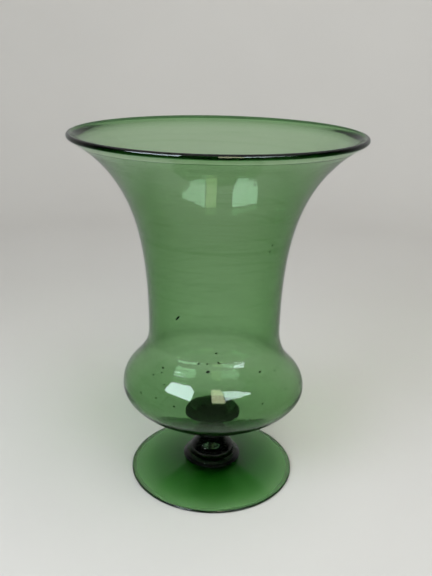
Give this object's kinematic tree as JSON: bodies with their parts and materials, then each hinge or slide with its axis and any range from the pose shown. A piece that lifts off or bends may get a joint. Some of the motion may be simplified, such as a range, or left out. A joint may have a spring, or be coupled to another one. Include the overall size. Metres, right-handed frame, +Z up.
{
  "type": "urn vase",
  "caption": "Hand-blown green glass urn vase: trumpet mouth with a rounded lip, long waist and squat bulb, on a short knopped stem and a thin disc foot. Holds flowers and water.",
  "frame": {"origin": "on the vase's axis, at the level of the table that the foot stands on", "axes": "+Z up the axis, from the foot to the mouth; X and Y are free, because every piece is round"},
  "size_m": [0.2312, 0.231, 0.3],
  "materials": {
    "green_glass": "clear green soda-lime glass, fire-polished, with fine seeds and draw lines"
  },
  "bodies": {
    "root": {"foot": "green_glass", "lower_merese": "green_glass", "stem": "green_glass", "upper_merese": "green_glass", "bowl": "green_glass"}
  },
  "joints": []
}
